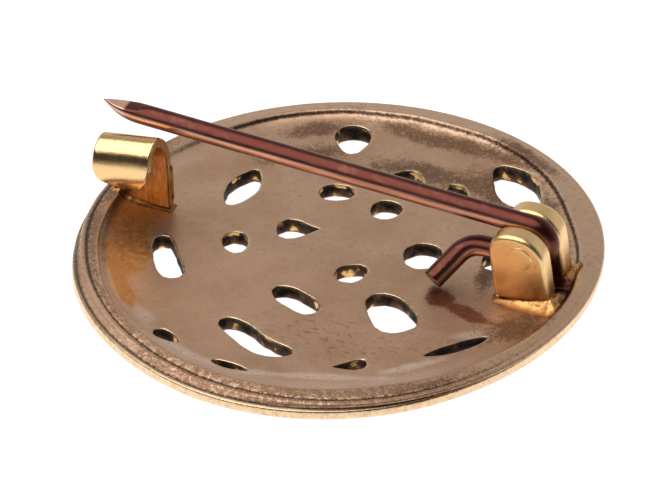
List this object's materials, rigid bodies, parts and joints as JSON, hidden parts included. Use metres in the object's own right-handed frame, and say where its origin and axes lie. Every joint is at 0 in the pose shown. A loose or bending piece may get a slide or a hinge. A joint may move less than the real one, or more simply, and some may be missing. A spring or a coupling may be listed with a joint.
{
  "type": "pierced disc brooch",
  "caption": "Round pierced bronze brooch lying on its face, with a hinged wire pin and a hooked catch on its back.",
  "frame": {"origin": "middle of the flat face that the brooch lies on, under the centre of the disc", "axes": "+Z out of the back of the disc, +X along the pin from the catch to the hinge"},
  "size_m": [0.0448, 0.0454, 0.0111],
  "materials": {
    "cast_bronze": "cast bronze, satin, brushed, with brown patina",
    "lug_brass": "filed brass, satin",
    "catch_brass": "rolled brass strip, polished",
    "copper_wire": "drawn copper wire with dark red oxide, semi-gloss"
  },
  "bodies": {
    "root": {"disc": "cast_bronze", "front_lug": "lug_brass", "rear_lug": "lug_brass", "hinge_rivet": "lug_brass", "catch_hook": "catch_brass"},
    "pin": {"pin": "copper_wire"}
  },
  "joints": [
    {"name": "pin_hinge", "type": "hinge", "parent": "root", "child": "pin", "pos_m": [0.01695, 0.00125, 0.00608], "axis": [0, 1, 0], "range_deg": [0, 175]}
  ]
}
